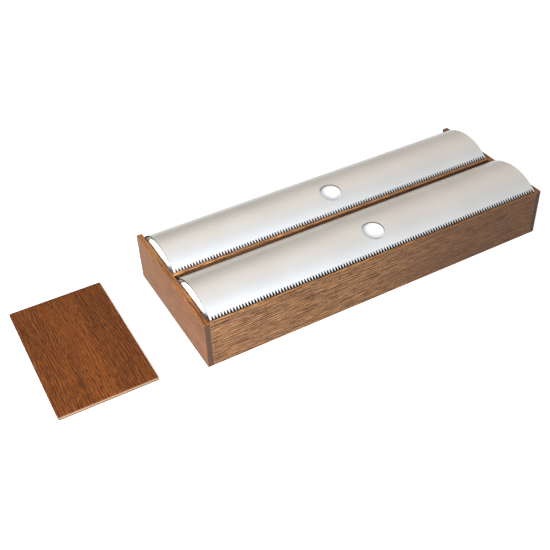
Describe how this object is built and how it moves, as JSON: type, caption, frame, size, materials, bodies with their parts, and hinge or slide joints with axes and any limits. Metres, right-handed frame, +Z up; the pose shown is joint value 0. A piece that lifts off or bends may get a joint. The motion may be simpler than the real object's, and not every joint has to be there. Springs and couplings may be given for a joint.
{
  "type": "drawer wrap dispenser",
  "caption": "Shallow wooden drawer tray that holds rolls of kitchen wrap side by side, each under a hinged serrated steel hood, with a loose filler board.",
  "frame": {"origin": "centre of the tray's underside, on the surface that it stands on", "axes": "+X along the rolls, towards the end away from the filler board; +Y from the toothed front edge to the hinges at the rear; +Z up"},
  "size_m": [0.516, 0.1608, 0.0643],
  "materials": {
    "walnut": "oiled",
    "base_veneer": "oiled",
    "dowel_wood": "plain",
    "filler_wood": "oiled",
    "hood_steel": "satin",
    "pin_steel": "bright",
    "washer_nylon": "matte",
    "core_card": "matte",
    "wrap_paper": "matte"
  },
  "bodies": {
    "tray": {"left_end_panel": "walnut", "right_end_panel": "walnut", "front_board": "walnut", "rear_board": "walnut", "lane_divider": "walnut", "base_panel": "base_veneer", "corner_dowels": "dowel_wood", "front_hinge_pins": "pin_steel", "rear_hinge_pins": "pin_steel", "front_hinge_washers": "washer_nylon", "rear_hinge_washers": "washer_nylon"},
    "front_cutter": {"front_hood": "hood_steel"},
    "rear_cutter": {"rear_hood": "hood_steel"},
    "front_roll": {"front_roll_core": "core_card", "front_roll_wrap": "wrap_paper"},
    "rear_roll": {"rear_roll_core": "core_card", "rear_roll_wrap": "wrap_paper"},
    "filler": {"filler_board": "filler_wood"}
  },
  "joints": [
    {"name": "front_hood_hinge", "type": "hinge", "parent": "tray", "child": "front_cutter", "pos_m": [0, -0.006, 0.0478], "axis": [-1, 0, 0], "range_deg": [0, 80]},
    {"name": "rear_hood_hinge", "type": "hinge", "parent": "tray", "child": "rear_cutter", "pos_m": [0, 0.069, 0.0478], "axis": [-1, 0, 0], "range_deg": [0, 105]},
    {"name": "front_roll_turn", "type": "hinge", "parent": "tray", "child": "front_roll", "pos_m": [0, -0.0343, 0.0323], "axis": [1, 0, 0], "continuous": true},
    {"name": "rear_roll_turn", "type": "hinge", "parent": "tray", "child": "rear_roll", "pos_m": [0, 0.0407, 0.0323], "axis": [1, 0, 0], "continuous": true},
    {"name": "filler_lift", "type": "slide", "parent": "tray", "child": "filler", "axis": [0, 0, 1], "range_m": [0, 0.15]}
  ]
}
